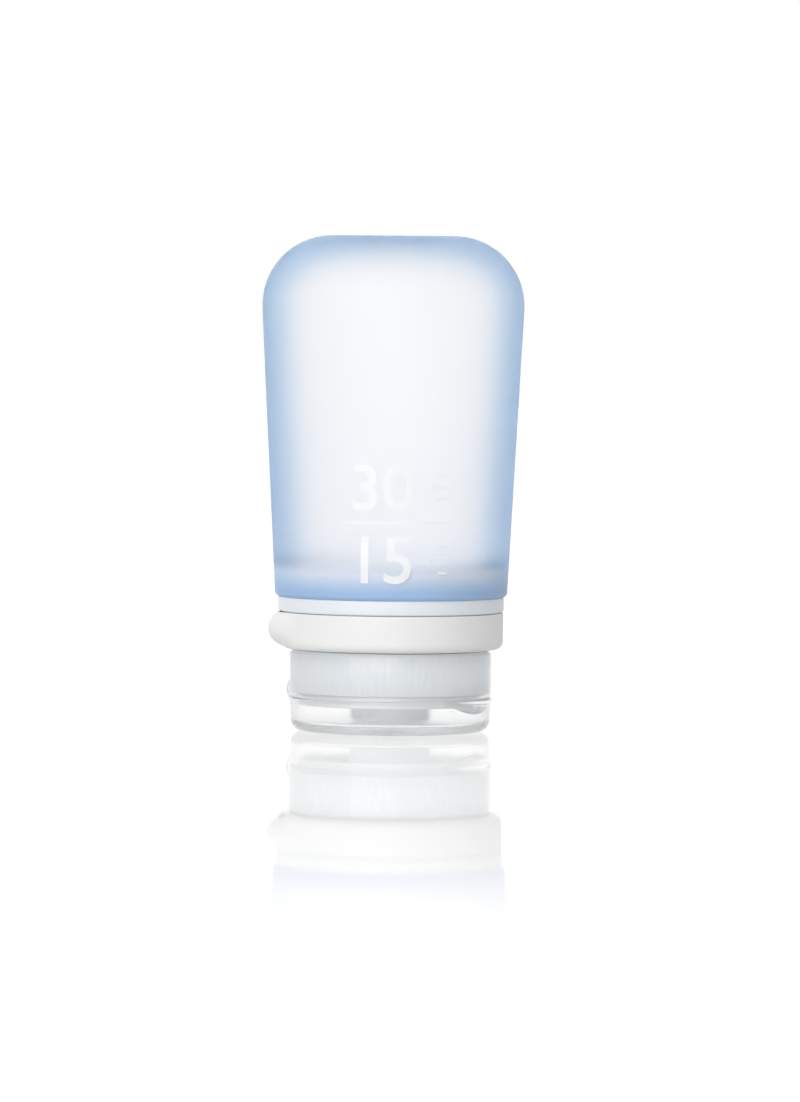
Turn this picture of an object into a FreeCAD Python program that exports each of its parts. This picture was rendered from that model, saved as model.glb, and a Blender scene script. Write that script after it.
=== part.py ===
"""Travel squeeze bottle of soft silicone that stands on its flip-top cap.

Row frame: origin on the floor under the bottle's axis, +Z up, cap down, front of the bottle towards -Y.
All sizes are in millimetres and all angles in degrees.
"""

import FreeCAD
import Part
import math
import os

from FreeCAD import Vector

# Squeeze tube
tube_length = 66.2
tube_taper = 3.0
tube_corner_radius = 13.0
tube_top_wall = 2.0
tube_foot_wall = 3.2
tube_end_wall = 2.3
tube_shoulder_wall = 3.0
tube_foot_overhang = 0.55
tube_foot_round = 0.9
tube_floor_slope = 2.0
neck_bore_radius = 12.9
neck_wall = 1.6
lip_thickness = 1.6
lip_overhang = 1.1

# Collar
collar_neck_wall = 1.3
collar_rim_cut = 0.4
hub_step = 2.3
hub_rise = 0.25
bead_height = 0.35
bead_half_width = 0.5
bead_rise = 1.4
flange_height = 2.7
flange_overhang = 0.1

# Loop ring
loop_ring_height = 6.75
loop_ring_wall = 2.3
loop_ring_foot_round = 1.5
loop_ring_foot_facets = 3
loop_height = 6.1
loop_radius = 10.0
loop_reach = 2.0
loop_strap = 1.95
eye_back_wall = 0.95
loop_bearing = -82.0

# Inner cap
thread_space = 0.7
inner_cap_wall = 1.0
inner_cap_rise = 0.45
inner_cap_rim_overlap = 0.1
deck_thickness = 1.3
rib_count = 90
rib_height = 0.27
rib_root = 0.1
rib_band_inset = 0.4
spout_radius = 7.35
spout_wall = 1.25
spout_end_wall = 1.0
spout_edge_cut = 0.4
orifice_radius = 3.5
locating_ring_depth = 2.2
locating_ring_width = 0.7

# Cap shell
shell_height = 8.25
shell_wall = 0.6
shell_lip_thickness = 0.8

# Flip lid
lid_height = 6.2
lid_inset = 0.1
lid_draft = 0.2
lid_wall = 1.2
lid_end_wall = 1.7
lid_corner_radius = 2.2
plug_tip_radius = 2.9
plug_base_radius = 3.2
plug_height = 1.05
thumb_lip_radius = 12.0
thumb_lip_reach = 1.4
thumb_lip_depth = 2.7
thumb_lip_bite = 0.2
thumb_bearing = 60.0

# Hinge strap
hinge_bearing = thumb_bearing - 180.0
strap_width = 9.0
strap_bow = 1.0
strap_half_span = 2.25
strap_thickness = 0.45
strap_rise = 0.9

# Slit valve and its retainer
valve_flange_thickness = 1.2
valve_flange_width = 1.5
valve_dome_rise = 1.0
valve_dome_wall = 0.5
valve_dome_drop = 0.45
slit_length = 5.0
slit_width = 0.12
retainer_height = 2.0
retainer_wall = 1.3
snap_height = 0.25
snap_half_width = 0.4

# Clearances
seat_clearance = 0.1
press_clearance = 0.03
swivel_clearance = 0.15
ring_float = 0.15
parting_gap = 0.15
spout_gap = 0.25
lid_clearance = 0.2
strap_gap = 0.1
valve_clearance = 0.1
overrun = 1.0

# Heights above the floor, stacked from the lid to the closed end
shell_z = lid_height + parting_gap
deck_z = shell_z + shell_lip_thickness
deck_top_z = deck_z + deck_thickness
rim_z = deck_top_z + lip_thickness
shell_top_z = shell_z + shell_height
cap_top_z = shell_top_z + inner_cap_rise
ring_z = cap_top_z + ring_float
ring_top_z = ring_z + loop_ring_height
flange_z = ring_top_z + ring_float
foot_z = flange_z + flange_height
shoulder_z = foot_z + tube_shoulder_wall
top_z = foot_z + tube_length
spout_z = lid_end_wall + spout_gap
valve_z = spout_z + spout_end_wall
retainer_z = valve_z + valve_flange_thickness
hinge_z = shell_z + strap_rise

# Radii from the bore of the neck outwards
neck_radius = neck_bore_radius + neck_wall
lip_radius = neck_radius + lip_overhang
collar_bore_radius = neck_radius + seat_clearance
collar_neck_radius = collar_bore_radius + collar_neck_wall
hub_radius = collar_neck_radius + hub_step
bead_radius = hub_radius + bead_height
ring_bore_radius = hub_radius + swivel_clearance
ring_radius = ring_bore_radius + loop_ring_wall
flange_radius = ring_radius + flange_overhang
tube_foot_radius = flange_radius + tube_foot_overhang
cap_bore_radius = collar_neck_radius + thread_space
cap_root_radius = cap_bore_radius + inner_cap_wall
rib_crest_radius = cap_root_radius + rib_height
shell_bore_radius = rib_crest_radius + press_clearance
cap_rim_radius = shell_bore_radius + inner_cap_rim_overlap
shell_radius = shell_bore_radius + shell_wall
lid_radius = shell_radius - lid_inset
lid_cavity_radius = lid_radius - lid_wall
locating_radius = lid_cavity_radius - lid_clearance
spout_bore_radius = spout_radius - spout_wall
snap_radius = spout_bore_radius - valve_clearance + snap_height

SQUARE = 90.0
FULL_TURN = 360.0
UP = Vector(0, 0, 1)
CENTRE = Vector(0, 0, 0)


def bearing(degrees):
    """Level unit vector at an angle from the front, positive towards the right."""
    angle = math.radians(degrees)
    return Vector(math.sin(angle), -math.cos(angle), 0)


def outline(corners):
    """Closed face in the XZ plane through (radius, height, round) corners, each rounded by a tangent arc."""
    points = [Vector(radius, 0, height) for radius, height, _ in corners]
    spans = []
    for index, point in enumerate(points):
        to_last = (points[index - 1] - point).normalize()
        to_next = (points[(index + 1) % len(points)] - point).normalize()
        half_angle = to_last.getAngle(to_next) / 2
        round_radius = corners[index][2]
        reach = round_radius / math.tan(half_angle)
        middle = (to_last + to_next).normalize() * (round_radius / math.sin(half_angle) - round_radius)
        spans.append((point + to_last * reach, point + middle, point + to_next * reach, round_radius > 0))
    edges = []
    for index, (start, middle, end, is_round) in enumerate(spans):
        if is_round:
            edges.append(Part.Arc(start, middle, end).toShape())
        edges.append(Part.LineSegment(end, spans[(index + 1) % len(spans)][0]).toShape())
    return Part.Face(Part.Wire(edges))


def revolved(corners):
    """Solid of revolution about Z through rounded corners."""
    return outline(corners).revolve(CENTRE, UP, FULL_TURN)


def upright_cylinder(radius, low, high, centre=CENTRE):
    """Round bar about a vertical axis between two heights."""
    return Part.makeCylinder(radius, high - low, centre + UP * low, UP)


def tube_side_radius(height):
    """Outside radius of the tapered side at a height."""
    return tube_foot_radius + (height - foot_z) * math.tan(math.radians(tube_taper))


def make_squeeze_tube():
    """Soft bottle with a flat closed end on top, and a neck and lip that hang through the collar."""
    taper_cosine = math.cos(math.radians(tube_taper))
    level_top_wall = tube_top_wall / taper_cosine
    level_foot_wall = tube_foot_wall / taper_cosine
    inner_top_z = top_z - tube_end_wall
    floor_edge_z = shoulder_z + tube_floor_slope
    return revolved([
        (0, top_z, 0),
        (tube_side_radius(top_z), top_z, tube_corner_radius),
        (tube_foot_radius, foot_z, tube_foot_round),
        (neck_radius, foot_z, 0),
        (neck_radius, rim_z, 0),
        (lip_radius, rim_z, 0),
        (lip_radius, deck_top_z, 0),
        (neck_bore_radius, deck_top_z, 0),
        (neck_bore_radius, shoulder_z, 0),
        (tube_side_radius(shoulder_z) - level_foot_wall - tube_floor_slope, shoulder_z, 0),
        (tube_side_radius(floor_edge_z) - level_foot_wall, floor_edge_z, 0),
        (tube_side_radius(inner_top_z) - level_top_wall, inner_top_z, tube_corner_radius - tube_top_wall),
        (0, inner_top_z, 0),
    ])


def make_collar():
    """Rigid collar round the soft neck: threaded neck below, hub for the loop ring, flange under the tube's foot."""
    hub_z = ring_z + hub_rise
    bead_z = ring_z + bead_rise
    return revolved([
        (collar_bore_radius, rim_z, 0),
        (collar_neck_radius - collar_rim_cut, rim_z, 0),
        (collar_neck_radius, rim_z + collar_rim_cut, 0),
        (collar_neck_radius, hub_z, 0),
        (hub_radius, hub_z, 0),
        (hub_radius, bead_z - bead_half_width, 0),
        (bead_radius, bead_z, 0),
        (hub_radius, bead_z + bead_half_width, 0),
        (hub_radius, flange_z, 0),
        (flange_radius, flange_z, 0),
        (flange_radius, foot_z, 0),
        (collar_bore_radius, foot_z, 0),
    ])


def make_ring_blank():
    """Full disc of the loop ring, with its lower corner rounded in flat steps."""
    corners = [(0, ring_z, 0)]
    for step in range(loop_ring_foot_facets + 1):
        angle = math.radians(SQUARE * step / loop_ring_foot_facets)
        radius = ring_radius - loop_ring_foot_round * (1 - math.sin(angle))
        corners.append((radius, ring_z + loop_ring_foot_round * (1 - math.cos(angle)), 0))
    corners.append((ring_radius, ring_top_z, 0))
    corners.append((0, ring_top_z, 0))
    return revolved(corners)


def make_loop(centre, outward):
    """Carrying loop before its eye is cut: level with the ring's top, with a full-round nose in side view."""
    low = ring_top_z - loop_height
    nose_radius = loop_height / 2
    nose_reach = ring_radius + loop_reach - nose_radius
    across = bearing(loop_bearing + SQUARE) * loop_radius
    inner_low = UP * low - across
    outer_low = inner_low + outward * nose_reach
    outer_high = outer_low + UP * loop_height
    nose_tip = outer_low + UP * nose_radius + outward * nose_radius
    side_view = Part.Face(Part.Wire([
        Part.LineSegment(inner_low, outer_low).toShape(),
        Part.Arc(outer_low, nose_tip, outer_high).toShape(),
        Part.LineSegment(outer_high, inner_low + UP * loop_height).toShape(),
        Part.LineSegment(inner_low + UP * loop_height, inner_low).toShape(),
    ]))
    disc = upright_cylinder(loop_radius, low, low + loop_height, centre)
    return disc.common(side_view.extrude(across * 2))


def make_loop_ring():
    """Swivel ring that snaps over the collar's bead, with a low carrying loop and its crescent eye."""
    bead_z = ring_z + bead_rise
    groove_half_width = bead_half_width + ring_float + swivel_clearance
    outward = bearing(loop_bearing)
    loop_centre = outward * (ring_radius + loop_reach - loop_radius)
    low = ring_z - overrun
    high = ring_top_z + overrun
    eye = upright_cylinder(loop_radius - loop_strap, low, high, loop_centre)
    eye = eye.cut(upright_cylinder(ring_bore_radius + eye_back_wall, low, high))
    bore = revolved([
        (0, low, 0),
        (ring_bore_radius, low, 0),
        (ring_bore_radius, bead_z - groove_half_width, 0),
        (bead_radius + swivel_clearance, bead_z, 0),
        (ring_bore_radius, bead_z + groove_half_width, 0),
        (ring_bore_radius, high, 0),
        (0, high, 0),
    ])
    blank = make_ring_blank().fuse(make_loop(loop_centre, outward))
    return blank.cut(eye).cut(bore).removeSplitter()


def make_rib_band(low, high):
    """Band of fine upright ribs as one star-shaped bar, filled to the axis."""
    rib_step = FULL_TURN / rib_count
    valley_radius = cap_root_radius - rib_root
    points = []
    for rib in range(rib_count):
        points.append(bearing(rib * rib_step) * rib_crest_radius + UP * low)
        points.append(bearing((rib + 1 / 2) * rib_step) * valley_radius + UP * low)
    star = Part.Face(Part.makePolygon(points + points[:1]))
    return star.extrude(UP * (high - low))


def make_inner_cap():
    """Frosted screw cap: ribbed skirt, deck on the tube's lip, spout for the valve, ring that locates the lid."""
    snap_z = retainer_z + retainer_height / 2
    groove_half_width = snap_half_width + valve_clearance
    locating_z = deck_z - locating_ring_depth
    locating_bore_radius = locating_radius - locating_ring_width
    body = revolved([
        (orifice_radius, spout_z, 0),
        (spout_radius - spout_edge_cut, spout_z, 0),
        (spout_radius, spout_z + spout_edge_cut, 0),
        (spout_radius, deck_z, 0),
        (locating_bore_radius, deck_z, 0),
        (locating_bore_radius, locating_z, 0),
        (locating_radius, locating_z, 0),
        (locating_radius, deck_z, 0),
        (cap_root_radius, deck_z, 0),
        (cap_root_radius, shell_top_z, 0),
        (cap_rim_radius, shell_top_z, 0),
        (cap_rim_radius, cap_top_z, 0),
        (cap_bore_radius, cap_top_z, 0),
        (cap_bore_radius, deck_top_z, 0),
        (spout_bore_radius, deck_top_z, 0),
        (spout_bore_radius, snap_z + groove_half_width, 0),
        (snap_radius + valve_clearance, snap_z, 0),
        (spout_bore_radius, snap_z - groove_half_width, 0),
        (spout_bore_radius, valve_z, 0),
        (orifice_radius, valve_z, 0),
    ])
    rib_low = deck_top_z
    rib_high = shell_top_z - rib_band_inset
    ribs = make_rib_band(rib_low, rib_high)
    ribs = ribs.cut(upright_cylinder(cap_bore_radius, rib_low - overrun, rib_high + overrun))
    return body.fuse(ribs).removeSplitter()


def make_cap_shell():
    """Clear sleeve over the ribs, held between the inner cap's rim and a lip of its own under the deck."""
    lip_bore_radius = locating_radius + seat_clearance
    return revolved([
        (lip_bore_radius, shell_z, 0),
        (shell_radius, shell_z, 0),
        (shell_radius, shell_top_z, 0),
        (shell_bore_radius, shell_top_z, 0),
        (shell_bore_radius, deck_z, 0),
        (lip_bore_radius, deck_z, 0),
    ])


def make_flip_lid():
    """Clear lid that the bottle stands on: rounded cup, plug for the orifice, thumb lip opposite the hinge."""
    cup = revolved([
        (0, 0, 0),
        (lid_radius - lid_draft, 0, lid_corner_radius),
        (lid_radius, lid_height, 0),
        (0, lid_height, 0),
    ])
    lip_centre = bearing(thumb_bearing) * (lid_radius + thumb_lip_reach - thumb_lip_radius)
    thumb_lip = Part.makeCone(
        thumb_lip_radius - thumb_lip_reach - thumb_lip_bite,
        thumb_lip_radius,
        thumb_lip_depth,
        lip_centre + UP * (lid_height - thumb_lip_depth),
        UP,
    )
    cavity = revolved([
        (0, lid_end_wall + plug_height, 0),
        (plug_tip_radius, lid_end_wall + plug_height, 0),
        (plug_base_radius, lid_end_wall, 0),
        (lid_cavity_radius, lid_end_wall, 0),
        (lid_cavity_radius, lid_height + overrun, 0),
        (0, lid_height + overrun, 0),
    ])
    return cup.fuse(thumb_lip).cut(cavity).removeSplitter()


def make_hinge_strap():
    """Bowed living-hinge strap that bridges the parting line: the outer slice of a level tube."""
    bow_radius = (strap_half_span ** 2 + strap_bow ** 2) / (2 * strap_bow)
    outward = bearing(hinge_bearing)
    across = bearing(hinge_bearing + SQUARE)
    start = outward * (shell_radius + strap_bow - bow_radius) - across * (strap_width / 2) + UP * hinge_z
    tube = Part.makeCylinder(bow_radius, strap_width, start, across)
    tube = tube.cut(Part.makeCylinder(bow_radius - strap_thickness, strap_width, start, across))
    inside = upright_cylinder(shell_radius, shell_z - parting_gap, top_z)
    inside = inside.fuse(upright_cylinder(lid_radius + strap_gap, -overrun, shell_z - parting_gap))
    slices = tube.cut(inside).Solids
    return max(slices, key=lambda solid: solid.CenterOfMass.dot(outward))


def make_slit_valve():
    """Soft valve with a thick rim and a thin dome, cut by a cross slit."""
    rim_radius = spout_bore_radius - valve_clearance
    dome_radius = rim_radius - valve_flange_width
    dome_z = valve_z + valve_dome_drop
    dome_top_z = dome_z + valve_dome_wall
    sphere_radius = (dome_radius ** 2 + valve_dome_rise ** 2) / (2 * valve_dome_rise)
    half_reach = dome_radius / 2
    half_rise = valve_dome_rise - sphere_radius + math.sqrt(sphere_radius ** 2 - half_reach ** 2)
    corners = [
        Vector(dome_radius, 0, dome_z),
        Vector(dome_radius, 0, valve_z),
        Vector(rim_radius, 0, valve_z),
        Vector(rim_radius, 0, retainer_z),
        Vector(dome_radius, 0, retainer_z),
        Vector(dome_radius, 0, dome_top_z),
    ]
    edges = [Part.LineSegment(a, b).toShape() for a, b in zip(corners, corners[1:])]
    upper_pole = Vector(0, 0, dome_top_z + valve_dome_rise)
    lower_pole = Vector(0, 0, dome_z + valve_dome_rise)
    edges.append(Part.Arc(corners[-1], Vector(half_reach, 0, dome_top_z + half_rise), upper_pole).toShape())
    edges.append(Part.LineSegment(upper_pole, lower_pole).toShape())
    edges.append(Part.Arc(lower_pole, Vector(half_reach, 0, dome_z + half_rise), corners[0]).toShape())
    valve = Part.Face(Part.Wire(edges)).revolve(CENTRE, UP, FULL_TURN)
    slit_height = retainer_z + valve_dome_rise - valve_z + overrun
    for long_x, long_y in ((slit_length, slit_width), (slit_width, slit_length)):
        corner = Vector(-long_x / 2, -long_y / 2, valve_z)
        valve = valve.cut(Part.makeBox(long_x, long_y, slit_height, corner))
    return valve


def make_valve_retainer():
    """Ring that snaps into the spout behind the valve and holds its rim down."""
    outer_radius = spout_bore_radius - valve_clearance
    inner_radius = outer_radius - retainer_wall
    snap_z = retainer_z + retainer_height / 2
    return revolved([
        (inner_radius, retainer_z, 0),
        (outer_radius, retainer_z, 0),
        (outer_radius, snap_z - snap_half_width, 0),
        (snap_radius, snap_z, 0),
        (outer_radius, snap_z + snap_half_width, 0),
        (outer_radius, retainer_z + retainer_height, 0),
        (inner_radius, retainer_z + retainer_height, 0),
    ])


PIECES = {
    "squeeze_tube": make_squeeze_tube,
    "collar": make_collar,
    "loop_ring": make_loop_ring,
    "inner_cap": make_inner_cap,
    "cap_shell": make_cap_shell,
    "hinge_strap": make_hinge_strap,
    "flip_lid": make_flip_lid,
    "slit_valve": make_slit_valve,
    "valve_retainer": make_valve_retainer,
}

os.makedirs("parts", exist_ok=True)
for name, make in PIECES.items():
    shape = make()
    print(name, "solids", len(shape.Solids), "valid", shape.isValid(), "volume", round(shape.Volume, 2))
    shape.exportStep(f"parts/{name}.step")
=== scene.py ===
import math

import bmesh
import bpy
from mathutils import Matrix, Vector


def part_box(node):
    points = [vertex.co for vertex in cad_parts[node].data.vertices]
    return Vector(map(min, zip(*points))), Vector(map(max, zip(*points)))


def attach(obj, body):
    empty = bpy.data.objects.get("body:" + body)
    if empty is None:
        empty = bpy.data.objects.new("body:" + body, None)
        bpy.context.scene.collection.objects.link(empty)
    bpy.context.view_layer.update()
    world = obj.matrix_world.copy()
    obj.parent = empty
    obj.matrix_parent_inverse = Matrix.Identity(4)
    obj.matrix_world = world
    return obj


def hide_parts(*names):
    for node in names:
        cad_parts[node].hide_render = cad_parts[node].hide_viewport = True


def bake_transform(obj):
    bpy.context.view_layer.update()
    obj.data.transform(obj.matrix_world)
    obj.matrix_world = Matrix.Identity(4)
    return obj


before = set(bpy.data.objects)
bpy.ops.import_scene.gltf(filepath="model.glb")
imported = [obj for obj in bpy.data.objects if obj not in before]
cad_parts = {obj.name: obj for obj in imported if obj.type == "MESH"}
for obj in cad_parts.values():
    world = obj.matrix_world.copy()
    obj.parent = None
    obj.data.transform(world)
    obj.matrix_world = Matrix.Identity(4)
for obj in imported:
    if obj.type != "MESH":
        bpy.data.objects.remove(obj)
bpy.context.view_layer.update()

mm = 0.001
fullTurn = math.tau
up = (0, 0, 1)
mergeGap = 1e-4  # in mm: points closer than this are one
matchGap = 1e-3  # in mm: a point this close to a radius lies on it
tallSide = 2.0  # in mm: a longer side of a profile is a wall
scene = bpy.context.scene


# Helpers for sizes, meshes and nodes

def boxMm(node):
    low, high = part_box(node)
    return low / mm, high / mm


def bearing(degrees):  # level direction from the front, positive towards the right
    angle = math.radians(degrees)
    return Vector((math.sin(angle), -math.cos(angle), 0))


def bearingOf(point):
    return math.degrees(math.atan2(point.x, -point.y))


def angleFrom(point, degrees):  # signed angle about the axis, in radians
    return math.radians((bearingOf(point) - degrees + 180) % 360 - 180)


def smoothMax(a, b, width):  # the larger of two, with a soft root of that width where they cross
    share = max(width - abs(a - b), 0) / width
    return max(a, b) + share * share * width / 4


def wireLoop(corners, segments):  # (radius, height, round) corners in mm, each rounded by a vertex bevel
    bm = bmesh.new()
    verts = [bm.verts.new((radius, 0, height)) for radius, height, _ in corners]
    for index, vert in enumerate(verts):
        last = verts[index - 1]
        if vert.co.x or last.co.x:  # no edge lies along the axis
            bm.edges.new((last, vert))
    turns = []
    for index, vert in enumerate(verts):
        toLast = verts[index - 1].co - vert.co
        toNext = verts[(index + 1) % len(verts)].co - vert.co
        if corners[index][2]:
            turns.append((vert, corners[index][2] / math.tan(toLast.angle(toNext) / 2)))
    for vert, reach in turns:
        bmesh.ops.bevel(bm, geom=[vert], offset=reach, offset_type="OFFSET", segments=segments,
                        profile=0.5, affect="VERTICES", material=-1)
    return bm


def spinRound(bm, steps):
    bmesh.ops.spin(bm, geom=bm.verts[:] + bm.edges[:], cent=(0, 0, 0), axis=up,
                   angle=fullTurn, steps=steps, use_merge=True)
    bmesh.ops.remove_doubles(bm, verts=bm.verts, dist=mergeGap)
    bmesh.ops.recalc_face_normals(bm, faces=bm.faces)


def turned(corners, segments, steps):
    bm = wireLoop(corners, segments)
    spinRound(bm, steps)
    return bm


def bandWall(bm, beyond, cuts):  # level cuts in the walls of a profile that lie outside a radius
    walls = [edge for edge in bm.edges if abs(edge.verts[0].co.z - edge.verts[1].co.z) > tallSide
             and min(vert.co.x for vert in edge.verts) > beyond]
    bmesh.ops.subdivide_edges(bm, edges=walls, cuts=cuts)


def drum(radius, depth, segments, centre):  # plain cylinder, used as a cutter
    bm = bmesh.new()
    bmesh.ops.create_cone(bm, cap_ends=True, segments=segments, radius1=radius, radius2=radius, depth=depth,
                          matrix=Matrix.Translation(centre))
    return bm


def finishPiece(bm, name, sharpAngle=40):  # millimetres to metres, smooth faces, sharp edges by angle
    bmesh.ops.scale(bm, vec=(mm, mm, mm), verts=bm.verts)
    for face in bm.faces:
        face.smooth = True
    mesh = bpy.data.meshes.new(name)
    bm.to_mesh(mesh)
    bm.free()
    mesh.set_sharp_from_angle(angle=math.radians(sharpAngle))
    piece = bpy.data.objects.new(name, mesh)
    scene.collection.objects.link(piece)
    return piece


def cutAway(bm, *cutters):  # boolean difference of bmeshes, in mm
    holders = []
    for part in (bm,) + cutters:
        mesh = bpy.data.meshes.new("blank")
        part.to_mesh(mesh)
        part.free()
        holder = bpy.data.objects.new("blank", mesh)
        scene.collection.objects.link(holder)
        holders.append(holder)
    blank = holders[0]
    for cutter in holders[1:]:
        cut = blank.modifiers.new("cut", "BOOLEAN")
        cut.operation = "DIFFERENCE"
        cut.solver = "EXACT"
        cut.object = cutter
    bpy.context.view_layer.update()
    result = bmesh.new()
    result.from_mesh(blank.evaluated_get(bpy.context.evaluated_depsgraph_get()).to_mesh())
    for holder in holders:
        mesh = holder.data
        bpy.data.objects.remove(holder)
        bpy.data.meshes.remove(mesh)
    return result


def dress(piece, material, body=None, node=None):
    piece.data.materials.clear()
    piece.data.materials.append(material)
    if body:
        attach(piece, body)
    if node:
        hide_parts(node)
    print("made", piece.name, len(piece.data.polygons), "faces")


def hexColour(code):  # sRGB hex to linear
    channels = [int(code[index:index + 2], 16) / 255 for index in (0, 2, 4)]
    linear = [c / 12.92 if c <= 0.04045 else ((c + 0.055) / 1.055) ** 2.4 for c in channels]
    return (*linear, 1)


def addNode(tree, kind, inputs=None, **settings):
    node = tree.nodes.new(kind)
    for name, value in settings.items():
        setattr(node, name, value)
    for socket, value in (inputs or {}).items():
        if isinstance(value, bpy.types.NodeSocket):
            tree.links.new(value, node.inputs[socket])
        else:
            node.inputs[socket].default_value = value
    return node


def perMm(size):  # texture scale for a feature of that many millimetres
    return 1 / (size * mm)


def newMaterial(name):
    material = bpy.data.materials.new(name)
    material.use_nodes = True
    tree = material.node_tree
    tree.nodes.clear()
    place = addNode(tree, "ShaderNodeTexCoord").outputs["Object"]
    return material, tree, place


# Frame sizes that several pieces share, in mm
tubeLow, tubeHigh = boxMm("squeeze_tube")
collarLow, collarHigh = boxMm("collar")
ringLow, ringHigh = boxMm("loop_ring")
capLow, capHigh = boxMm("inner_cap")
shellLow, shellHigh = boxMm("cap_shell")
lidLow, lidHigh = boxMm("flip_lid")
valveLow = boxMm("slit_valve")[0]
snapLow, snapHigh = boxMm("valve_retainer")
strapLow, strapHigh = boxMm("hinge_strap")
thumbBearing = 60
hingeBearing = thumbBearing - 180
seatGap = 0.04  # hair gap, or bite, between pieces that sit face to face


# Materials

siliconeLook = {  # heights in mm above the collar
    "toneLow": 1.4, "toneHigh": 7.2, "milkLow": 4.2, "milkHigh": 7.4, "milkShare": 0.12, "clearShare": 0.92,
    "skinDepth": 1.6,  # faces further in than this from the collar's edge don't take the foot's blue
    "rimLow": 0.25, "rimHigh": 0.8,  # how edge-on the wall is where the rim's blue starts and is full
}


def frostedSilicone():
    # Silicone rubber moulded against a matte tool: soft and frosted, blue where light goes far through it,
    # and milky in the thick foot. It scatters light forwards, so its index is low and the coat gives the
    # gloss, and the rim colours what crosses the wall at a low angle, as thick glass does. Its colour turns a
    # darker blue towards the collar, set on the outer skin only: on the far wall it would show through the
    # near one as a dark band.
    material, tree, place = newMaterial("frosted silicone rubber")
    cloud = addNode(tree, "ShaderNodeTexNoise", {"Vector": place, "Scale": perMm(9), "Detail": 2.0})
    rough = addNode(tree, "ShaderNodeMapRange", {
        "Value": cloud.outputs["Fac"], "To Min": 0.45, "To Max": 0.55})
    grain = addNode(tree, "ShaderNodeTexNoise", {"Vector": place, "Scale": perMm(0.5), "Detail": 3.0})
    bump = addNode(tree, "ShaderNodeBump", {
        "Height": grain.outputs["Fac"], "Strength": 0.25, "Distance": 0.02 * mm})
    height = addNode(tree, "ShaderNodeSeparateXYZ", {"Vector": place}).outputs["Z"]
    passed = addNode(tree, "ShaderNodeMapRange", {
        "Value": height, "From Min": (collarHigh.z + siliconeLook["milkLow"]) * mm,
        "From Max": (collarHigh.z + siliconeLook["milkHigh"]) * mm,
        "To Min": siliconeLook["milkShare"], "To Max": siliconeLook["clearShare"]},
        interpolation_type="SMOOTHSTEP")
    facing = addNode(tree, "ShaderNodeLayerWeight", {"Blend": 0.5}).outputs["Facing"]
    edgeOn = addNode(tree, "ShaderNodeMapRange", {
        "Value": facing, "From Min": siliconeLook["rimLow"], "From Max": siliconeLook["rimHigh"]},
        interpolation_type="SMOOTHSTEP")
    rim = addNode(tree, "ShaderNodeMix", {
        0: edgeOn.outputs["Result"], 6: hexColour("FFFDFC"), 7: hexColour("D3E7F8")}, data_type="RGBA")
    # surface colour goes from a darker blue just above the collar to the pale rim colour higher up, on the
    # outer skin only
    rise = addNode(tree, "ShaderNodeMapRange", {
        "Value": height, "From Min": (collarHigh.z + siliconeLook["toneLow"]) * mm,
        "From Max": (collarHigh.z + siliconeLook["toneHigh"]) * mm})
    level = addNode(tree, "ShaderNodeVectorMath", {0: place, 1: (1, 1, 0)}, operation="MULTIPLY")
    reach = addNode(tree, "ShaderNodeVectorMath", {0: level.outputs["Vector"]}, operation="LENGTH")
    inside = addNode(tree, "ShaderNodeMath", {
        0: reach.outputs["Value"], 1: (collarHigh.x - siliconeLook["skinDepth"]) * mm}, operation="LESS_THAN")
    pale = addNode(tree, "ShaderNodeMath", {
        0: rise.outputs["Result"], 1: inside.outputs[0]}, operation="MAXIMUM")
    tone = addNode(tree, "ShaderNodeMix", {
        0: pale.outputs[0], 6: hexColour("A4C2E6"), 7: rim.outputs[2]}, data_type="RGBA")
    skin = addNode(tree, "ShaderNodeBsdfPrincipled", {
        "Base Color": tone.outputs[2], "Roughness": rough.outputs["Result"], "IOR": 1.1,
        "Transmission Weight": passed.outputs["Result"], "Normal": bump.outputs["Normal"],
        "Coat Weight": 0.4, "Coat Roughness": 0.4, "Coat IOR": 1.41})
    tint = addNode(tree, "ShaderNodeVolumeAbsorption", {"Color": hexColour("9AC0E2"), "Density": 40.0})
    addNode(tree, "ShaderNodeOutputMaterial", {
        "Surface": skin.outputs["BSDF"], "Volume": tint.outputs["Volume"]})
    return material


def polishedMarks():
    # The same rubber where the tool was polished: raised marks that catch the light and look whiter
    material, tree, place = newMaterial("polished silicone marks")
    grain = addNode(tree, "ShaderNodeTexNoise", {"Vector": place, "Scale": perMm(1.2), "Detail": 2.0})
    rough = addNode(tree, "ShaderNodeMapRange", {
        "Value": grain.outputs["Fac"], "To Min": 0.28, "To Max": 0.4})
    skin = addNode(tree, "ShaderNodeBsdfPrincipled", {
        "Base Color": hexColour("FDFEFF"), "Roughness": rough.outputs["Result"], "IOR": 1.1,
        "Transmission Weight": 0.3, "Coat Weight": 1.0, "Coat Roughness": 0.25, "Coat IOR": 1.5})
    addNode(tree, "ShaderNodeOutputMaterial", {"Surface": skin.outputs["BSDF"]})
    return material


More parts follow.
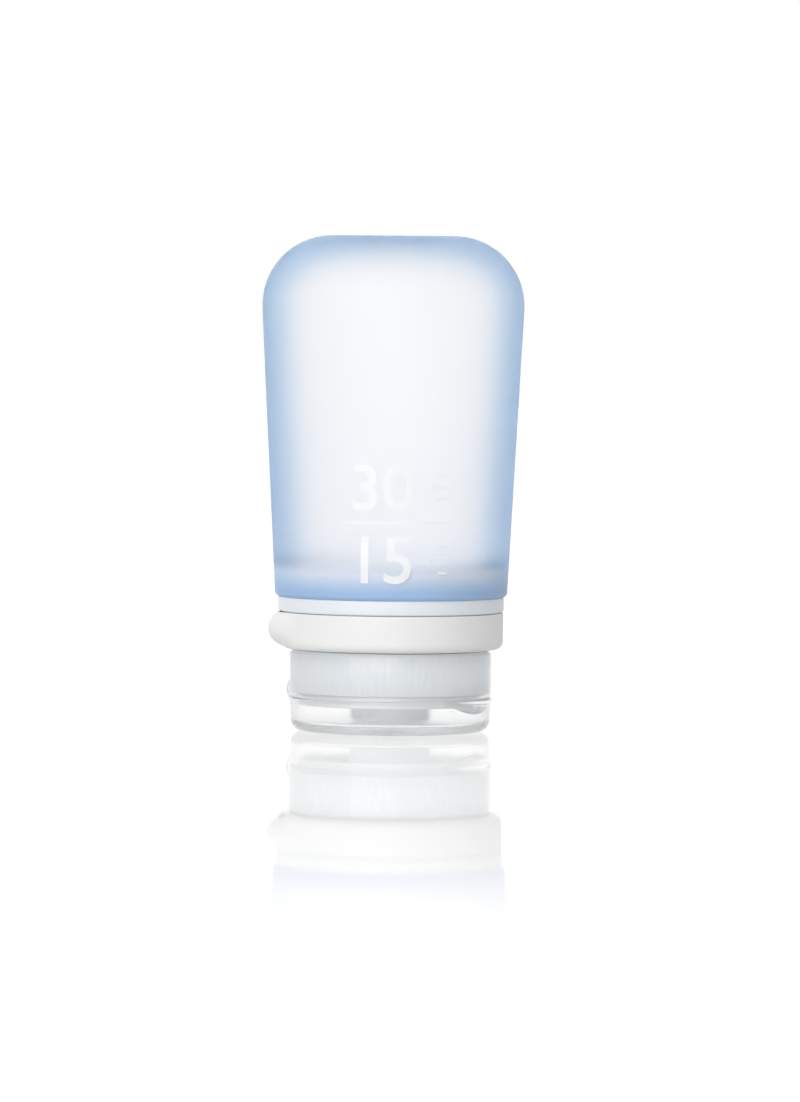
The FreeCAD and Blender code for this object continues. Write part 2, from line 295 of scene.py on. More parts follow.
def satinPlastic(name, colour, shade, roughLow, roughHigh, glow):
    # Filled polypropylene from a spark-eroded tool: even satin, a trace of flow marks,
    # light bleeding at thin edges
    material, tree, place = newMaterial(name)
    flow = addNode(tree, "ShaderNodeTexNoise", {"Vector": place, "Scale": perMm(7), "Detail": 3.0})
    tone = addNode(tree, "ShaderNodeMix", {
        0: flow.outputs["Fac"], 6: hexColour(colour), 7: hexColour(shade)}, data_type="RGBA")
    grain = addNode(tree, "ShaderNodeTexNoise", {"Vector": place, "Scale": perMm(0.35), "Detail": 2.0})
    rough = addNode(tree, "ShaderNodeMapRange", {
        "Value": grain.outputs["Fac"], "To Min": roughLow, "To Max": roughHigh})
    bump = addNode(tree, "ShaderNodeBump", {
        "Height": grain.outputs["Fac"], "Strength": 0.2, "Distance": 0.015 * mm})
    skin = addNode(tree, "ShaderNodeBsdfPrincipled", {
        "Base Color": tone.outputs[2], "Roughness": rough.outputs["Result"], "IOR": 1.49,
        "Subsurface Weight": glow, "Subsurface Radius": (1.0, 0.95, 0.9), "Subsurface Scale": 1.2 * mm,
        "Normal": bump.outputs["Normal"]})
    addNode(tree, "ShaderNodeOutputMaterial", {"Surface": skin.outputs["BSDF"]})
    return material


def frostedPlastic():
    # Natural polypropylene from a blasted tool: cloudy, grey where it is thick
    material, tree, place = newMaterial("frosted polypropylene")
    cloud = addNode(tree, "ShaderNodeTexNoise", {"Vector": place, "Scale": perMm(5), "Detail": 2.0})
    rough = addNode(tree, "ShaderNodeMapRange", {
        "Value": cloud.outputs["Fac"], "To Min": 0.34, "To Max": 0.44})
    grain = addNode(tree, "ShaderNodeTexNoise", {"Vector": place, "Scale": perMm(0.4), "Detail": 2.0})
    bump = addNode(tree, "ShaderNodeBump", {
        "Height": grain.outputs["Fac"], "Strength": 0.2, "Distance": 0.02 * mm})
    skin = addNode(tree, "ShaderNodeBsdfPrincipled", {
        "Base Color": hexColour("F8FCFF"), "Roughness": rough.outputs["Result"], "IOR": 1.49,
        "Transmission Weight": 0.08, "Normal": bump.outputs["Normal"]})
    tint = addNode(tree, "ShaderNodeVolumeAbsorption", {"Color": hexColour("AFC0CE"), "Density": 8.0})
    addNode(tree, "ShaderNodeOutputMaterial", {
        "Surface": skin.outputs["BSDF"], "Volume": tint.outputs["Volume"]})
    return material


def clearPlastic():
    # Clarified polypropylene from a polished tool: clear, with faint ripple
    # and a blue-grey tint along its edges
    material, tree, place = newMaterial("clear polypropylene")
    ripple = addNode(tree, "ShaderNodeTexNoise", {"Vector": place, "Scale": perMm(6), "Detail": 1.0})
    rough = addNode(tree, "ShaderNodeMapRange", {
        "Value": ripple.outputs["Fac"], "To Min": 0.12, "To Max": 0.2})
    bump = addNode(tree, "ShaderNodeBump", {
        "Height": ripple.outputs["Fac"], "Strength": 0.15, "Distance": 0.05 * mm})
    skin = addNode(tree, "ShaderNodeBsdfPrincipled", {
        "Base Color": hexColour("FFFFFF"), "Roughness": rough.outputs["Result"], "IOR": 1.49,
        "Transmission Weight": 1.0, "Normal": bump.outputs["Normal"]})
    tint = addNode(tree, "ShaderNodeVolumeAbsorption", {"Color": hexColour("A8C0D0"), "Density": 5.0})
    addNode(tree, "ShaderNodeOutputMaterial", {
        "Surface": skin.outputs["BSDF"], "Volume": tint.outputs["Volume"]})
    return material


def milkySilicone():
    # Soft undyed silicone: milky, matte, lets some light through the thin dome
    material, tree, place = newMaterial("milky silicone rubber")
    grain = addNode(tree, "ShaderNodeTexNoise", {"Vector": place, "Scale": perMm(0.6), "Detail": 2.0})
    rough = addNode(tree, "ShaderNodeMapRange", {
        "Value": grain.outputs["Fac"], "To Min": 0.4, "To Max": 0.55})
    skin = addNode(tree, "ShaderNodeBsdfPrincipled", {
        "Base Color": hexColour("E6E9EC"), "Roughness": rough.outputs["Result"], "IOR": 1.41,
        "Transmission Weight": 0.35})
    addNode(tree, "ShaderNodeOutputMaterial", {"Surface": skin.outputs["BSDF"]})
    return material


silicone = frostedSilicone()
marksSilicone = polishedMarks()
collarPlastic = satinPlastic("satin polypropylene cool white", "E6EAEF", "E2E6EC", 0.36, 0.44, 0.15)
ringPlastic = satinPlastic("satin polypropylene warm white", "EBEBEA", "E7E7E6", 0.42, 0.52, 0.25)
frosted = frostedPlastic()
clear = clearPlastic()
milky = milkySilicone()
print("materials ready")


# Soft tube
tube = {
    "taper": 3.0, "cornerRadius": 13.0, "topWall": 2.0, "footWall": 3.2, "endWall": 2.3, "shoulderWall": 3.0,
    "footOverhang": 0.55, "footRound": 0.9, "floorRound": 4.2, "neckBore": 12.9, "neckWall": 1.6,
    "lipOverhang": 1.1, "neckRound": 0.3, "lipRound": 0.35, "boreRound": 1.0, "steps": 192, "segments": 14,
}
tubeFootZ = collarHigh.z
tubeFootRadius = collarHigh.x + tube["footOverhang"]
tubeSlope = math.tan(math.radians(tube["taper"]))


def tubeSide(height):  # outside radius of the tapered side
    return tubeFootRadius + (height - tubeFootZ) * tubeSlope


def makeTube():
    cosine = math.cos(math.radians(tube["taper"]))
    topWall = tube["topWall"] / cosine
    footWall = tube["footWall"] / cosine
    topZ = tubeHigh.z
    footZ = tubeFootZ - seatGap  # pressed into the collar, so that no air film shows
    lipZ = tubeLow.z + seatGap
    innerTop = topZ - tube["endWall"]
    shoulder = tubeFootZ + tube["shoulderWall"]
    neck = tube["neckBore"] + tube["neckWall"]
    lip = neck + tube["lipOverhang"]
    lipTop = collarLow.z - seatGap
    bm = turned([
        (0, topZ, 0),
        (tubeSide(topZ), topZ, tube["cornerRadius"]),
        (tubeFootRadius, footZ, tube["footRound"]),
        (neck, footZ, tube["neckRound"]),
        (neck, lipTop, tube["neckRound"]),
        (lip, lipTop, tube["lipRound"]),
        (lip, lipZ, tube["lipRound"]),
        (tube["neckBore"], lipZ, tube["lipRound"]),
        (tube["neckBore"], shoulder, tube["boreRound"]),
        (tubeSide(shoulder) - footWall, shoulder, tube["floorRound"]),
        (tubeSide(innerTop) - topWall, innerTop, tube["cornerRadius"] - tube["topWall"]),
        (0, innerTop, 0),
    ], tube["segments"], tube["steps"])
    piece = finishPiece(bm, "soft_tube")
    dress(piece, silicone, "bottle", "squeeze_tube")


makeTube()

# Raised scale on the front: plain numbers at the true fill levels
marks = {  # heights above the floor and lengths round the tube, in mm
    "levels": {"15": 32.2, "30": 45.4}, "middleLevel": 39.0, "tickLevels": (29.9, 34.5, 43.3, 47.5),
    "numeralHeight": 8.6, "numeralX": -1.8, "barLeft": -9.4, "barRight": 10.3, "barHeight": 0.5,
    "tickLeft": 7.4, "shortTickLeft": 8.6, "tickHeight": 0.5,
    "proud": 0.28, "standOff": 0.02, "slice": 0.8, "stroke": 0.012, "curveSteps": 6, "sharpAngle": 30,
}


def numeralBmesh(body, height, centreX, centreZ):  # flat, in mm: x along the arc, y up, z out of the tube
    curve = bpy.data.curves.new("numeral", "FONT")
    curve.body = body
    curve.align_x = "CENTER"
    curve.offset = marks["stroke"]
    curve.resolution_u = marks["curveSteps"]
    holder = bpy.data.objects.new("numeral", curve)
    scene.collection.objects.link(holder)
    bpy.context.view_layer.update()
    mesh = bpy.data.meshes.new_from_object(holder.evaluated_get(bpy.context.evaluated_depsgraph_get()))
    bpy.data.objects.remove(holder)
    bm = bmesh.new()
    bm.from_mesh(mesh)
    bpy.data.meshes.remove(mesh)
    low = min(vert.co.y for vert in bm.verts)
    high = max(vert.co.y for vert in bm.verts)
    grow = height / (high - low)
    bmesh.ops.scale(bm, vec=(grow, grow, 1), verts=bm.verts)
    drop = (low + high) / 2 * grow
    bmesh.ops.translate(bm, vec=(centreX, centreZ - drop, marks["standOff"]), verts=bm.verts)
    return bm


def barBmesh(left, right, centreZ, height):
    bm = bmesh.new()
    bmesh.ops.create_grid(bm, x_segments=1, y_segments=1, size=0.5)
    bmesh.ops.scale(bm, vec=(right - left, height, 1), verts=bm.verts)
    bmesh.ops.translate(bm, vec=((left + right) / 2, centreZ, marks["standOff"]), verts=bm.verts)
    return bm


def makeMarks():
    flats = [numeralBmesh(body, marks["numeralHeight"], marks["numeralX"], level)
             for body, level in marks["levels"].items()]
    flats.append(barBmesh(marks["barLeft"], marks["barRight"], marks["middleLevel"], marks["barHeight"]))
    for level in marks["levels"].values():
        flats.append(barBmesh(marks["tickLeft"], marks["barRight"], level, marks["tickHeight"]))
    for level in marks["tickLevels"]:
        flats.append(barBmesh(marks["shortTickLeft"], marks["barRight"], level, marks["tickHeight"]))
    bm = bmesh.new()
    for flat in flats:
        mesh = bpy.data.meshes.new("flat")
        flat.to_mesh(mesh)
        flat.free()
        bm.from_mesh(mesh)
        bpy.data.meshes.remove(mesh)
    bmesh.ops.remove_doubles(bm, verts=bm.verts, dist=mergeGap)
    cuts = int((marks["barRight"] - marks["barLeft"]) / marks["slice"])
    for cut in range(cuts + 1):  # upright cuts, so that the marks can follow the round side
        at = marks["barLeft"] + cut * marks["slice"]
        bmesh.ops.bisect_plane(bm, geom=bm.verts[:] + bm.edges[:] + bm.faces[:],
                               plane_co=(at, 0, 0), plane_no=(1, 0, 0))
    bmesh.ops.recalc_face_normals(bm, faces=bm.faces)
    if sum(face.normal.z for face in bm.faces) < 0:
        bmesh.ops.reverse_faces(bm, faces=bm.faces)
    raised = bmesh.ops.extrude_face_region(bm, geom=bm.faces[:], use_keep_orig=True)
    rise = marks["proud"] - marks["standOff"]
    topVerts = [item for item in raised["geom"] if isinstance(item, bmesh.types.BMVert)]
    bmesh.ops.translate(bm, vec=(0, 0, rise), verts=topVerts)
    bmesh.ops.recalc_face_normals(bm, faces=bm.faces)
    for vert in bm.verts:
        along, height, out = vert.co
        radius = tubeSide(height)
        angle = along / radius
        vert.co = Vector((math.sin(angle), -math.cos(angle), 0)) * (radius + out) + Vector((0, 0, height))
    piece = finishPiece(bm, "scale_marks", marks["sharpAngle"])
    dress(piece, marksSilicone, "bottle")


makeMarks()

# Collar with its screw thread, and the ring that turns on it
collar = {
    "bore": 14.6, "neck": 15.9, "hub": 18.2, "hubRise": 0.25, "beadHeight": 0.35, "beadHalf": 0.5,
    "beadRise": 1.4, "landDrop": 0.1, "landInset": 0.5, "beadRound": 0.3, "edge": 0.3,
    "steps": 160, "segments": 4,
}
ring = {
    "bore": 18.35, "radius": 20.65, "footRound": 1.5, "topRound": 0.35, "boreRound": 0.25,
    "grooveDepth": 0.35, "grooveHalf": 0.9, "loopBearing": -82, "loopSpan": 45, "loopRadius": 10.0,
    "loopReach": 2.0, "loopHeight": 6.1, "rootWidth": 1.2, "strap": 1.95, "eyeBackWall": 0.95, "float": 0.15,
    "eyeCut": 20.0, "coreCut": 24.0, "wallSlack": 0.1,  # cutters longer than the loop is high
    "steps": 288, "eyeSteps": 128, "coreSteps": 192, "segments": 6, "bands": 22,
}
thread = {
    "lead": 4.0, "startZ": 11.0, "turns": 0.9, "rootHalf": 0.75, "crestHalf": 0.25, "height": 0.45,
    "sunk": 0.05, "fade": 0.12, "endShare": 0.05, "steps": 96,
}
flangeZ = ringHigh.z + ring["float"]


def makeCollar():
    rim = collarLow.z
    hubZ = ringLow.z + collar["hubRise"]
    beadZ = ringLow.z + collar["beadRise"]
    flange = collarHigh.x
    land = ring["radius"] - collar["landInset"]  # the ring turns on a low land under the flange
    landZ = flangeZ - collar["landDrop"]
    edge = collar["edge"]
    bm = turned([
        (collar["bore"], rim, edge),
        (collar["neck"], rim, edge),
        (collar["neck"], hubZ, edge),
        (collar["hub"], hubZ, edge),
        (collar["hub"], beadZ - collar["beadHalf"], 0),
        (collar["hub"] + collar["beadHeight"], beadZ, collar["beadRound"]),
        (collar["hub"], beadZ + collar["beadHalf"], 0),
        (collar["hub"], landZ, 0),
        (land, landZ, 0),
        (land, flangeZ, 0),
        (flange, flangeZ, edge),
        (flange, collarHigh.z, edge),
        (collar["bore"], collarHigh.z, 0),
    ], collar["segments"], collar["steps"])
    piece = finishPiece(bm, "collar_moulding")
    dress(piece, collarPlastic, "bottle", "collar")


def threadRidge(root, crest, startZ, turns):  # right-hand helical ridge between two radii, faded at both ends
    bm = bmesh.new()
    corners = [(root, -thread["rootHalf"]), (crest, -thread["crestHalf"]),
               (crest, thread["crestHalf"]), (root, thread["rootHalf"])]
    verts = [bm.verts.new((radius, 0, startZ + height)) for radius, height in corners]
    for index, vert in enumerate(verts):
        bm.edges.new((verts[index - 1], vert))
    rise = thread["lead"] * turns
    bmesh.ops.spin(bm, geom=bm.verts[:] + bm.edges[:], cent=(0, 0, 0), axis=up, angle=fullTurn * turns,
                   dvec=(0, 0, rise / thread["steps"]), steps=thread["steps"])
    bmesh.ops.holes_fill(bm, edges=[edge for edge in bm.edges if edge.is_boundary])
    for vert in bm.verts:
        radius = Vector((vert.co.x, vert.co.y)).length
        angle = math.atan2(vert.co.y, vert.co.x) % fullTurn
        share = min(angle / fullTurn / turns, 1)
        fade = min(share, 1 - share) / thread["fade"]
        if abs(radius - crest) < abs(radius - root) and fade < 1:
            faded = root + (crest - root) * max(fade, thread["endShare"])
            vert.co.x *= faded / radius
            vert.co.y *= faded / radius
    bmesh.ops.recalc_face_normals(bm, faces=bm.faces)
    return bm


def makeThread():
    root = collar["neck"] - thread["sunk"]
    bm = threadRidge(root, collar["neck"] + thread["height"], thread["startZ"], thread["turns"])
    piece = finishPiece(bm, "collar_thread")
    dress(piece, collarPlastic, "bottle")


makeCollar()
makeThread()

# Swivel ring with its carrying loop

def loopPlan(angle, centre, radius):  # from the axis out to a circle whose centre is on the bearing
    return centre * math.cos(angle) + math.sqrt(max(radius ** 2 - (centre * math.sin(angle)) ** 2, 0))


def makeRing():
    low, high, radius = ringLow.z, ringHigh.z, ring["radius"]
    beadZ = low + collar["beadRise"]
    bm = wireLoop([
        (ring["bore"], low, ring["boreRound"]),
        (radius, low, ring["footRound"]),
        (radius, high, ring["topRound"]),
        (ring["bore"], high, ring["boreRound"]),
        (ring["bore"], beadZ + ring["grooveHalf"], 0),
        (ring["bore"] + ring["grooveDepth"], beadZ, 0),
        (ring["bore"], beadZ - ring["grooveHalf"], 0),
    ], ring["segments"])
    bandWall(bm, radius - ring["wallSlack"], ring["bands"])
    spinRound(bm, ring["steps"])
    nose = ring["loopHeight"] / 2
    middle = high - nose
    centre = radius + ring["loopReach"] - ring["loopRadius"]
    for vert in bm.verts:
        flat = Vector((vert.co.x, vert.co.y))
        angle = angleFrom(vert.co, ring["loopBearing"])
        if flat.length < radius - ring["footRound"] or abs(angle) > math.radians(ring["loopSpan"]):
            continue
        lift = nose ** 2 - (vert.co.z - middle) ** 2
        if lift <= 0:
            continue
        reach = loopPlan(angle, centre, ring["loopRadius"]) - nose + math.sqrt(lift)
        flat *= smoothMax(flat.length, reach, ring["rootWidth"]) / flat.length
        vert.co.x, vert.co.y = flat
    level = Vector((0, 0, middle))
    loopCentre = bearing(ring["loopBearing"]) * centre + level
    eye = drum(ring["loopRadius"] - ring["strap"], ring["eyeCut"], ring["eyeSteps"], loopCentre)
    core = drum(ring["bore"] + ring["eyeBackWall"], ring["coreCut"], ring["coreSteps"], level)
    piece = finishPiece(cutAway(bm, cutAway(eye, core)), "loop_ring_moulding")
    dress(piece, ringPlastic, "loop", "loop_ring")


makeRing()

# Frosted inner cap with ribs, deck and spout
cap = {
    "bore": 16.6, "root": 17.92, "ribCount": 90, "ribInset": 0.4, "ribHeight": 0.1, "ribRamp": 0.12,
    "deckLow": 7.15, "deckHigh": 8.45, "deckRound": 0.4, "spout": 7.35, "spoutBore": 6.1, "spoutEnd": 1.0,
    "spoutEdge": 0.4, "orifice": 3.5, "snapHalf": 0.5, "snapDepth": 0.25, "edge": 0.2,
    "locating": 17.0, "locatingWidth": 0.7, "locatingDepth": 2.2,
    "threadGap": 0.02, "threadDrop": 1.2, "threadTurns": 0.6, "stepsPerRib": 6, "segments": 3,
}


def makeInnerCap():
    spoutZ = capLow.z
    valveZ = spoutZ + cap["spoutEnd"]
    snapZ = (snapLow.z + snapHigh.z) / 2
    edge = cap["edge"]
    ribLow = cap["deckHigh"]
    ribHigh = shellHigh.z - cap["ribInset"]
    ramp = cap["ribRamp"]
    locating = cap["locating"]
    locatingZ = cap["deckLow"] - cap["locatingDepth"]
    bm = turned([
        (cap["orifice"], spoutZ, edge),
        (cap["spout"], spoutZ, cap["spoutEdge"]),
        (cap["spout"], cap["deckLow"], cap["deckRound"]),
        (locating - cap["locatingWidth"], cap["deckLow"], edge),
        (locating - cap["locatingWidth"], locatingZ, edge),
        (locating, locatingZ, edge),
        (locating, cap["deckLow"], 0),
        (cap["root"], cap["deckLow"], edge),
        (cap["root"], ribLow, 0),
        (cap["root"], ribLow + ramp, 0),
        (cap["root"], ribHigh - ramp, 0),
        (cap["root"], ribHigh, 0),
        (cap["root"], shellHigh.z, 0),
        (capHigh.x, shellHigh.z, 0),
        (capHigh.x, capHigh.z, edge),
        (cap["bore"], capHigh.z, edge),
        (cap["bore"], cap["deckHigh"], cap["deckRound"]),
        (cap["spoutBore"], cap["deckHigh"], edge),
        (cap["spoutBore"], snapZ + cap["snapHalf"], 0),
        (cap["spoutBore"] + cap["snapDepth"], snapZ, 0),
        (cap["spoutBore"], snapZ - cap["snapHalf"], 0),
        (cap["spoutBore"], valveZ, edge),
        (cap["orifice"], valveZ, 0),
    ], cap["segments"], cap["ribCount"] * cap["stepsPerRib"])
    for vert in bm.verts:
        flat = Vector((vert.co.x, vert.co.y))
        onSkirt = abs(flat.length - cap["root"]) < matchGap
        if onSkirt and ribLow + ramp / 2 < vert.co.z < ribHigh - ramp / 2:
            wave = 0.5 + 0.5 * math.cos(math.radians(bearingOf(vert.co)) * cap["ribCount"])
            flat *= (flat.length + cap["ribHeight"] * wave) / flat.length
            vert.co.x, vert.co.y = flat
    piece = finishPiece(bm, "inner_cap_moulding")
    dress(piece, frosted, "cap", "inner_cap")
    ridgeZ = thread["startZ"] + thread["lead"] / 2 - cap["threadDrop"]
    ridge = threadRidge(cap["bore"] - cap["threadGap"], cap["bore"] - thread["height"], ridgeZ,
                        cap["threadTurns"])
    piece = finishPiece(ridge, "cap_thread")
    dress(piece, frosted, "cap")


makeInnerCap()

# Clear sleeve over the ribs
shell = {"bore": 17.9, "lipBore": 17.1, "edge": 0.2, "steps": 192, "segments": 4}


def makeShell():
    edge = shell["edge"]
    lipTop = cap["deckLow"] - seatGap
    top = shellHigh.z - seatGap
    bm = turned([
        (shell["lipBore"], shellLow.z, edge),
        (shellHigh.x, shellLow.z, edge),
        (shellHigh.x, top, edge),
        (shell["bore"], top, edge),
        (shell["bore"], lipTop, 0),
        (shell["lipBore"], lipTop, 0),
    ], shell["segments"], shell["steps"])
    piece = finishPiece(bm, "clear_sleeve")
    dress(piece, clear, "cap", "cap_shell")


makeShell()

# Clear flip lid that the bottle stands on
lid = {
    "draft": 0.2, "wall": 1.2, "endWall": 1.7, "cornerRadius": 2.2, "innerRound": 0.7, "edge": 0.2,
    "plugTip": 2.9, "plugBase": 3.2, "plugHeight": 1.05, "lipRadius": 12.0, "lipReach": 1.4, "lipDepth": 2.7,
    "lipBite": 0.2, "lipSpan": 60, "lipRoot": 0.12, "plugRound": 0.3, "wallSlack": 0.5,
    "steps": 288, "segments": 8, "bands": 14,
}


def makeLid():
    radius = -lidLow.x
    high = lidHigh.z
    cavity = radius - lid["wall"]
    floor = lid["endWall"]
    bm = wireLoop([
        (0, 0, 0),
        (radius - lid["draft"], 0, lid["cornerRadius"]),
        (radius, high, lid["edge"]),
        (cavity, high, lid["edge"]),
        (cavity, floor, lid["innerRound"]),
        (lid["plugBase"], floor, lid["plugRound"]),
        (lid["plugTip"], floor + lid["plugHeight"], lid["plugRound"]),
        (0, floor + lid["plugHeight"], 0),
    ], lid["segments"])
    bandWall(bm, cavity + lid["wallSlack"], lid["bands"])
    spinRound(bm, lid["steps"])
    lipLow = high - lid["lipDepth"]
    centre = radius + lid["lipReach"] - lid["lipRadius"]
    for vert in bm.verts:
        flat = Vector((vert.co.x, vert.co.y))
        angle = angleFrom(vert.co, thumbBearing)
        onSide = flat.length >= radius - lid["draft"] - lid["edge"]
        if not onSide or vert.co.z < lipLow or abs(angle) > math.radians(lid["lipSpan"]):
            continue
        rise = (vert.co.z - lipLow) / lid["lipDepth"]
        reach = lid["lipReach"] + lid["lipBite"]
        lipHere = loopPlan(angle, centre, lid["lipRadius"] - reach * (1 - rise))
        flat *= smoothMax(flat.length, lipHere, lid["lipRoot"]) / flat.length
        vert.co.x, vert.co.y = flat
    piece = finishPiece(bm, "clear_lid")
    dress(piece, clear, "lid", "flip_lid")


makeLid()

# Living hinge between sleeve and lid
hinge = {
    "width": 9.0, "bow": 1.0, "halfSpan": 2.25, "thickness": 0.45, "sunk": 0.25, "blendHalf": 1.2, "steps": 24,
}


def makeHinge():
    bow, half = hinge["bow"], hinge["halfSpan"]
    radius = (half ** 2 + bow ** 2) / (2 * bow)
    out = bearing(hingeBearing)
    across = bearing(hingeBearing + 90)
    middle = out * (shellHigh.x + bow - radius) + Vector((0, 0, (strapLow.z + strapHigh.z) / 2))
    sweep = 2 * math.acos((radius - bow - hinge["sunk"]) / radius)
    bm = bmesh.new()
    start = bm.verts.new(middle + out * radius - across * hinge["width"] / 2)
    bmesh.ops.rotate(bm, verts=[start], cent=middle, matrix=Matrix.Rotation(-sweep / 2, 3, across))
    bmesh.ops.spin(bm, geom=[start], cent=middle, axis=across, angle=sweep, steps=hinge["steps"])
    wire = bm.edges[:]
    swept = bmesh.ops.extrude_edge_only(bm, edges=wire)
    moved = [item for item in swept["geom"] if isinstance(item, bmesh.types.BMVert)]
    bmesh.ops.translate(bm, vec=across * hinge["width"], verts=moved)
    bmesh.ops.recalc_face_normals(bm, faces=bm.faces)
    if sum(face.normal.dot(out) for face in bm.faces) < 0:
        bmesh.ops.reverse_faces(bm, faces=bm.faces)
    bmesh.ops.solidify(bm, geom=bm.faces[:], thickness=hinge["thickness"])
    bmesh.ops.recalc_face_normals(bm, faces=bm.faces)
    piece = finishPiece(bm, "living_hinge")
    dress(piece, clear, node="hinge_strap")
    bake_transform(piece)


makeHinge()

# Slit valve and the ring that holds it
valve = {
    "rim": 6.0, "flangeWidth": 1.5, "domeRise": 1.0, "domeWall": 0.5, "domeDrop": 0.45,
    "slitLength": 5.0, "slitWidth": 0.12, "slitDepth": 6.0, "slitRise": 1.0, "edge": 0.2,
    "domeSteps": 8, "steps": 96, "segments": 3,
}
snapRing = {"outer": 6.0, "wall": 1.3, "snap": 0.25, "snapHalf": 0.4, "snapRound": 0.15, "edge": 0.2,
            "steps": 96, "segments": 3}


def makeValve():
    low = valveLow.z + seatGap
    high = snapLow.z
    dome = valve["rim"] - valve["flangeWidth"]
    domeZ = low + valve["domeDrop"]
    sphere = (dome ** 2 + valve["domeRise"] ** 2) / (2 * valve["domeRise"])
    arc = []
    for step in range(valve["domeSteps"] + 1):
        reach = dome * (1 - step / valve["domeSteps"])
        arc.append((reach, valve["domeRise"] - sphere + math.sqrt(sphere ** 2 - reach ** 2)))
    edge = valve["edge"]
    corners = [(valve["rim"], low, edge), (valve["rim"], high, edge), (dome, high, edge)]
    corners += [(reach, domeZ + valve["domeWall"] + rise, 0) for reach, rise in arc]
    corners += [(reach, domeZ + rise, 0) for reach, rise in reversed(arc)]
    corners += [(dome, low, edge)]
    bm = turned(corners, valve["segments"], valve["steps"])
    slits = []
    longSide, shortSide = valve["slitLength"], valve["slitWidth"]
    for length, width in ((longSide, shortSide), (shortSide, longSide)):
        slit = bmesh.new()
        bmesh.ops.create_cube(slit, size=1)
        bmesh.ops.scale(slit, vec=(length, width, valve["slitDepth"]), verts=slit.verts)
        bmesh.ops.translate(slit, vec=(0, 0, low + valve["slitRise"]), verts=slit.verts)
        slits.append(slit)
    piece = finishPiece(cutAway(bm, *slits), "valve_membrane")
    dress(piece, milky, "valve", "slit_valve")


def makeSnapRing():
    low, high = snapLow.z + seatGap, snapHigh.z
    middle = (low + high) / 2
    inner = snapRing["outer"] - snapRing["wall"]
    edge = snapRing["edge"]
    bm = turned([
        (inner, low, edge),
        (snapRing["outer"], low, edge),
        (snapRing["outer"], middle - snapRing["snapHalf"], 0),
        (snapRing["outer"] + snapRing["snap"], middle, snapRing["snapRound"]),
        (snapRing["outer"], middle + snapRing["snapHalf"], 0),
        (snapRing["outer"], high, edge),
        (inner, high, edge),
    ], snapRing["segments"], snapRing["steps"])
    piece = finishPiece(bm, "valve_snap_ring")
    dress(piece, frosted, "valve", "valve_retainer")


makeValve()
makeSnapRing()
print("pieces ready")

# Floor, light and camera
stage = {
    "floorSize": 6.0, "floorDrop": 0.02, "fadeStart": 0.2, "fadeEnd": 0.48, "mirrorShare": 0.68,
    "shadowShare": 0.15, "floorGlow": 1.1, "white": 1.0, "ambient": 0.42, "bounces": 32, "glossBounces": 16,
}
softboxes = {  # power in watts, sizes and places in metres, bearing in degrees
    "key": {
        "power": 30.0, "size": 2.2, "distance": 1.7, "bearing": -18, "height": 0.9,
        "colour": "FFFFFF", "shows": True},
    "back": {
        "power": 1.0, "size": 2.2, "distance": 1.7, "bearing": 180, "height": 0.2,
        "colour": "FFFBF6", "shows": True},
    "fill": {  # doesn't show in gloss or through clear walls, so it lights matt surfaces only
        "power": 8.0, "size": 1.2, "distance": 1.6, "bearing": -140, "height": 0.55,
        "colour": "FFFFFF", "shows": False},
}
camera = {
    "distance": 1440.0, "height": 90.8, "pxSize": 0.1838, "frameHeight": 1102, "frameWidth": 800,
    "floorRow": 731, "axisColumn": 391.4, "roll": 0.48, "sensor": 36.0,
}


def seenRays(tree):  # camera, mirror and glass rays, which see the white backdrop
    rays = addNode(tree, "ShaderNodeLightPath").outputs
    mirror = addNode(tree, "ShaderNodeMath", {
        0: rays["Is Camera Ray"], 1: rays["Is Glossy Ray"]}, operation="MAXIMUM")
    seen = addNode(tree, "ShaderNodeMath", {
        0: mirror.outputs[0], 1: rays["Is Transmission Ray"]}, operation="MAXIMUM")
    return seen.outputs[0]


def makeWorld():
    world = bpy.data.worlds.new("white studio")
    scene.world = world
    world.use_nodes = True
    world.cycles.sampling_method = "NONE"  # the light is even, so each ray may simply look it up
    tree = world.node_tree
    tree.nodes.clear()
    soft = addNode(tree, "ShaderNodeBackground", {"Color": (1, 1, 1, 1), "Strength": stage["ambient"]})
    white = addNode(tree, "ShaderNodeBackground", {"Color": (1, 1, 1, 1), "Strength": stage["white"]})
    mix = addNode(tree, "ShaderNodeMixShader", {0: seenRays(tree), 1: soft.outputs[0], 2: white.outputs[0]})
    addNode(tree, "ShaderNodeOutputWorld", {"Surface": mix.outputs[0]})


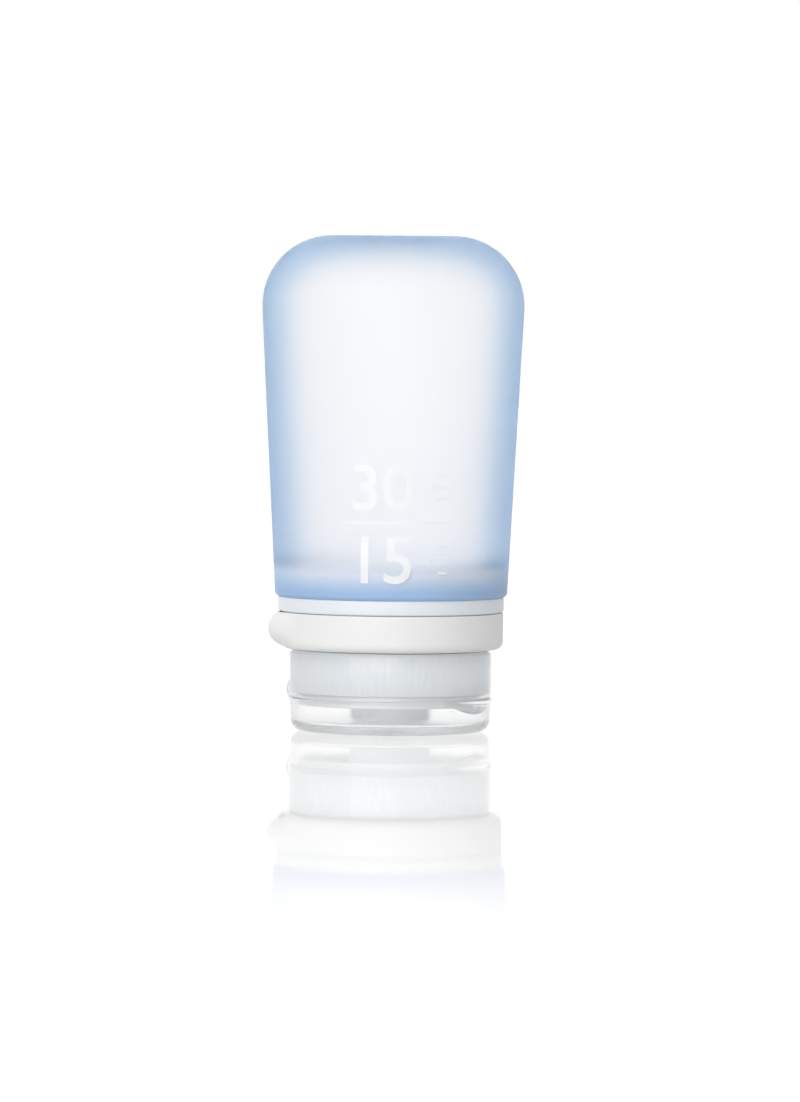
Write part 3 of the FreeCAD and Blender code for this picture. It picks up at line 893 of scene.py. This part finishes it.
def floorMaterial():
    # Polished white acrylic: mirrors at a low angle, close to what stands on it
    material, tree, place = newMaterial("polished white acrylic")
    matt = addNode(tree, "ShaderNodeBsdfDiffuse", {"Color": hexColour("F4F4F4")})
    white = addNode(tree, "ShaderNodeEmission", {"Color": (1, 1, 1, 1), "Strength": stage["floorGlow"]})
    base = addNode(tree, "ShaderNodeMixShader", {
        0: stage["shadowShare"], 1: white.outputs[0], 2: matt.outputs[0]})
    away = addNode(tree, "ShaderNodeVectorMath", {0: place}, operation="LENGTH")
    near = addNode(tree, "ShaderNodeMapRange", {
        "Value": away.outputs["Value"], "From Min": stage["fadeStart"], "From Max": stage["fadeEnd"],
        "To Min": stage["mirrorShare"], "To Max": 0.0}, interpolation_type="SMOOTHSTEP")
    gloss = addNode(tree, "ShaderNodeFresnel", {"IOR": 1.45})
    amount = addNode(tree, "ShaderNodeMath", {
        0: near.outputs["Result"], 1: gloss.outputs[0]}, operation="MULTIPLY")
    mirror = addNode(tree, "ShaderNodeBsdfGlossy", {"Color": (1, 1, 1, 1), "Roughness": 0.03})
    shown = addNode(tree, "ShaderNodeMixShader", {
        0: amount.outputs[0], 1: base.outputs[0], 2: mirror.outputs[0]})
    mix = addNode(tree, "ShaderNodeMixShader", {0: seenRays(tree), 1: matt.outputs[0], 2: shown.outputs[0]})
    addNode(tree, "ShaderNodeOutputMaterial", {"Surface": mix.outputs[0]})
    return material


def makeStage():
    bm = bmesh.new()
    bmesh.ops.create_grid(bm, x_segments=1, y_segments=1, size=stage["floorSize"] / 2)
    bmesh.ops.translate(bm, vec=(0, 0, -stage["floorDrop"] * mm), verts=bm.verts)
    mesh = bpy.data.meshes.new("floor")
    bm.to_mesh(mesh)
    bm.free()
    floor = bpy.data.objects.new("floor", mesh)
    floor.data.materials.append(floorMaterial())
    scene.collection.objects.link(floor)
    for name, box in softboxes.items():
        lamp = bpy.data.lights.new(name + " softbox", "AREA")
        lamp.shape = "SQUARE"
        lamp.size = box["size"]
        lamp.energy = box["power"]
        lamp.color = hexColour(box["colour"])[:3]
        light = bpy.data.objects.new(name + " softbox", lamp)
        light.location = bearing(box["bearing"]) * box["distance"] + Vector((0, 0, box["height"]))
        light.rotation_euler = (-light.location).to_track_quat("-Z", "Y").to_euler()
        scene.collection.objects.link(light)
        light.visible_glossy = box["shows"]
        light.visible_transmission = box["shows"]


def makeCamera():
    size = camera["pxSize"]
    aimX = (camera["frameWidth"] / 2 - camera["axisColumn"]) * size
    aimZ = (camera["floorRow"] - camera["frameHeight"] / 2) * size
    aim = Vector((aimX, 0, aimZ)) * mm
    place = Vector((aimX, -camera["distance"], camera["height"])) * mm
    look = aim - place
    lens = bpy.data.cameras.new("camera")
    lens.sensor_width = camera["sensor"]
    lens.lens = camera["sensor"] * look.length / (camera["frameHeight"] * size * mm)
    view = bpy.data.objects.new("camera", lens)
    roll = Matrix.Rotation(math.radians(camera["roll"]), 4, "Z")
    view.matrix_world = Matrix.Translation(place) @ look.to_track_quat("-Z", "Y").to_matrix().to_4x4() @ roll
    scene.collection.objects.link(view)
    scene.camera = view


makeWorld()
makeStage()
makeCamera()
scene.view_settings.view_transform = "Standard"
scene.cycles.max_bounces = stage["bounces"]  # light crosses many clear walls in the cap
scene.cycles.glossy_bounces = stage["glossBounces"]
scene.cycles.transmission_bounces = stage["bounces"]
print("stage ready")

bpy.context.view_layer.update()
